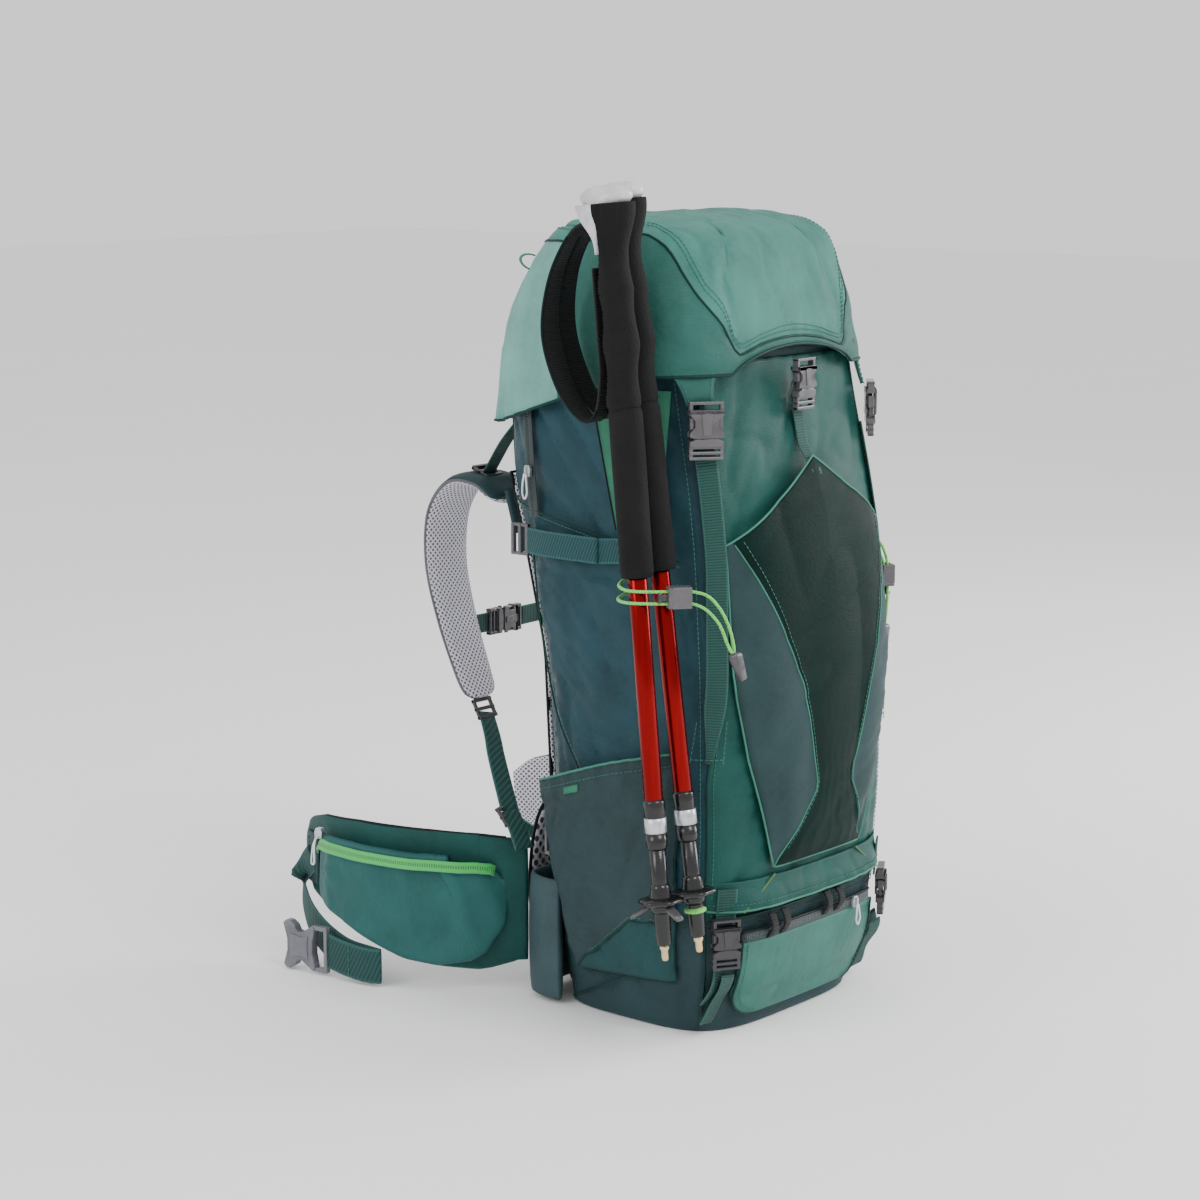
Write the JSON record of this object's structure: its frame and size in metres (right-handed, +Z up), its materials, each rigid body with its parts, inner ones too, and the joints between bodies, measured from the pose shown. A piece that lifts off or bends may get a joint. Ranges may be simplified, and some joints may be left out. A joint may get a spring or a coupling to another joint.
{
  "type": "hiking backpack",
  "caption": "Tall trekking backpack with lid, front and side pockets, framed harness, padded hip belt and two stowed trekking poles.",
  "frame": {"origin": "centre of the flat base that the pack stands on", "axes": "+Z up the pack, -Y out of its front, +Y towards the wearer, -X to the wearer's left"},
  "size_m": [0.4522, 0.5631, 0.8021],
  "materials": {
    "lid_fabric": "matte ripstop nylon",
    "body_fabric": "satin ripstop nylon",
    "dark_fabric": "matte heavy nylon",
    "slate_fabric": "matte stretch fabric",
    "panel_fabric": "satin nylon",
    "belt_fabric": "satin nylon over foam",
    "pocket_fabric": "satin nylon",
    "spacer_mesh": "open spacer mesh over foam",
    "webbing": "ribbed woven webbing",
    "buckle_light": "satin moulded acetal",
    "buckle_dark": "satin moulded acetal",
    "elastic": "braided elastic cord",
    "zinc": "bright die cast",
    "anodised": "bright anodised",
    "grip_foam": "matte foam and rubber",
    "frame_metal": "plain drawn",
    "frame_plastic": "matte sheet"
  },
  "bodies": {
    "bag": {"main_bag": "body_fabric", "bottom_compartment": "dark_fabric", "snow_collar": "slate_fabric", "frame_sheet": "frame_plastic", "frame_rod": "frame_metal", "back_pad": "spacer_mesh", "lumbar_pad": "spacer_mesh", "front_pocket": "body_fabric", "hip_base": "belt_fabric", "front_strap": "webbing", "front_buckle": "buckle_light", "side_pocket_left": "slate_fabric", "lid_strap_left": "webbing", "compression_strap_left": "webbing", "bottom_buckle_left": "buckle_dark", "pole_cord_left": "elastic", "cord_lock_left": "buckle_light", "cord_pull_left": "buckle_light", "lower_webbing_left": "webbing", "side_pocket_right": "slate_fabric", "lid_strap_right": "webbing", "compression_strap_right": "webbing", "bottom_buckle_right": "buckle_dark", "pole_cord_right": "elastic", "cord_lock_right": "buckle_light", "cord_pull_right": "buckle_light", "lower_webbing_right": "webbing"},
    "lid": {"lid_hood": "lid_fabric", "lid_buckle_left": "buckle_light", "lid_buckle_right": "buckle_light"},
    "front_clip": {"front_clip": "buckle_light"},
    "bottom_flap": {"bottom_flap": "panel_fabric"},
    "haul_loop": {"haul_loop": "webbing"},
    "harness": {"yoke": "dark_fabric", "shoulder_strap_left": "spacer_mesh", "shoulder_strap_right": "spacer_mesh"},
    "sternum": {"sternum_buckle": "buckle_dark"},
    "sternum_clip": {"sternum_clip": "buckle_dark"},
    "belt_left": {"belt_webbing_left": "webbing", "belt_clip": "buckle_light"},
    "belt_right": {"belt_webbing_right": "webbing", "belt_buckle": "buckle_light"},
    "pole_near": {"pole_near_shaft": "anodised", "pole_near_grip": "grip_foam", "pole_near_strap": "grip_foam"},
    "pole_far": {"pole_far_shaft": "anodised", "pole_far_grip": "grip_foam", "pole_far_strap": "grip_foam"},
    "lid_clip_left": {"lid_clip_left": "buckle_light"},
    "bottom_clip_left": {"bottom_clip_left": "buckle_dark"},
    "cord_button_left": {"cord_button_left": "buckle_dark"},
    "hip_fin_left": {"hip_fin_left": "belt_fabric", "hip_pocket_left": "pocket_fabric"},
    "zip_slider_left": {"zip_slider_left": "zinc"},
    "lid_clip_right": {"lid_clip_right": "buckle_light"},
    "bottom_clip_right": {"bottom_clip_right": "buckle_dark"},
    "cord_button_right": {"cord_button_right": "buckle_dark"},
    "hip_fin_right": {"hip_fin_right": "belt_fabric", "hip_pocket_right": "pocket_fabric"},
    "zip_slider_right": {"zip_slider_right": "zinc"}
  },
  "joints": [
    {"name": "lid_hinge", "type": "hinge", "parent": "bag", "child": "lid", "pos_m": [0, 0.191, 0.56], "axis": [-1, 0, 0], "range_deg": [0, 90]},
    {"name": "front_clip_release", "type": "slide", "parent": "bag", "child": "front_clip", "axis": [0, 0, -1], "range_m": [0, 0.025]},
    {"name": "bottom_flap_hinge", "type": "hinge", "parent": "bag", "child": "bottom_flap", "pos_m": [0, -0.092, 0.012], "axis": [1, 0, 0], "range_deg": [0, 75]},
    {"name": "haul_loop_flip", "type": "hinge", "parent": "bag", "child": "haul_loop", "pos_m": [0, 0.2, 0.549], "axis": [1, 0, 0], "range_deg": [0, 55]},
    {"name": "back_length", "type": "slide", "parent": "bag", "child": "harness", "axis": [0, 0.243, 0.97], "range_m": [0, 0.03], "deforming": ["lower_webbing_left", "lower_webbing_right"]},
    {"name": "sternum_height", "type": "slide", "parent": "harness", "child": "sternum", "axis": [0, 0.3102, 0.9507], "range_m": [0, 0.035]},
    {"name": "sternum_release", "type": "slide", "parent": "sternum", "child": "sternum_clip", "axis": [-1, 0, 0], "range_m": [0, 0.02]},
    {"name": "lid_clip_release_left", "type": "slide", "parent": "bag", "child": "lid_clip_left", "axis": [0, 0, -1], "range_m": [0, 0.03]},
    {"name": "bottom_clip_release_left", "type": "slide", "parent": "bag", "child": "bottom_clip_left", "axis": [0, 0, -1], "range_m": [0, 0.022]},
    {"name": "hip_fin_swing_left", "type": "hinge", "parent": "bag", "child": "hip_fin_left", "pos_m": [-0.13, 0.145, 0.1], "axis": [0, 0, -1], "range_deg": [-15, 25]},
    {"name": "zip_left", "type": "hinge", "parent": "hip_fin_left", "child": "zip_slider_left", "pos_m": [0.011, 0.298, 0.143], "axis": [0, 0, 1], "range_deg": [0, 36]},
    {"name": "belt_swing_left", "type": "hinge", "parent": "hip_fin_left", "child": "belt_left", "pos_m": [-0.17243, 0.40822, 0.096], "axis": [0.3907, 0.9205, 0], "range_deg": [0, 20]},
    {"name": "lid_clip_release_right", "type": "slide", "parent": "bag", "child": "lid_clip_right", "axis": [0, 0, -1], "range_m": [0, 0.03]},
    {"name": "bottom_clip_release_right", "type": "slide", "parent": "bag", "child": "bottom_clip_right", "axis": [0, 0, -1], "range_m": [0, 0.022]},
    {"name": "hip_fin_swing_right", "type": "hinge", "parent": "bag", "child": "hip_fin_right", "pos_m": [0.13, 0.145, 0.1], "axis": [0, 0, 1], "range_deg": [-15, 25]},
    {"name": "zip_right", "type": "hinge", "parent": "hip_fin_right", "child": "zip_slider_right", "pos_m": [-0.011, 0.298, 0.143], "axis": [0, 0, -1], "range_deg": [0, 36]},
    {"name": "belt_swing_right", "type": "hinge", "parent": "hip_fin_right", "child": "belt_right", "pos_m": [0.17243, 0.40822, 0.096], "axis": [0.3907, -0.9205, 0], "range_deg": [0, 20]},
    {"name": "cord_press_left", "type": "slide", "parent": "bag", "child": "cord_button_left", "axis": [0.7806, -0.6251, 0], "range_m": [0, 0.003], "stiffness_N_per_m": 600},
    {"name": "cord_press_right", "type": "slide", "parent": "bag", "child": "cord_button_right", "axis": [0, 0, 1], "range_m": [0, 0.003], "stiffness_N_per_m": 600},
    {"name": "pole_near_lift", "type": "slide", "parent": "bag", "child": "pole_near", "axis": [-0.0118, 0.0866, 0.9962], "range_m": [0, 0.25]},
    {"name": "pole_far_lift", "type": "slide", "parent": "bag", "child": "pole_far", "axis": [-0.011, 0.1279, 0.9917], "range_m": [0, 0.25]}
  ]
}
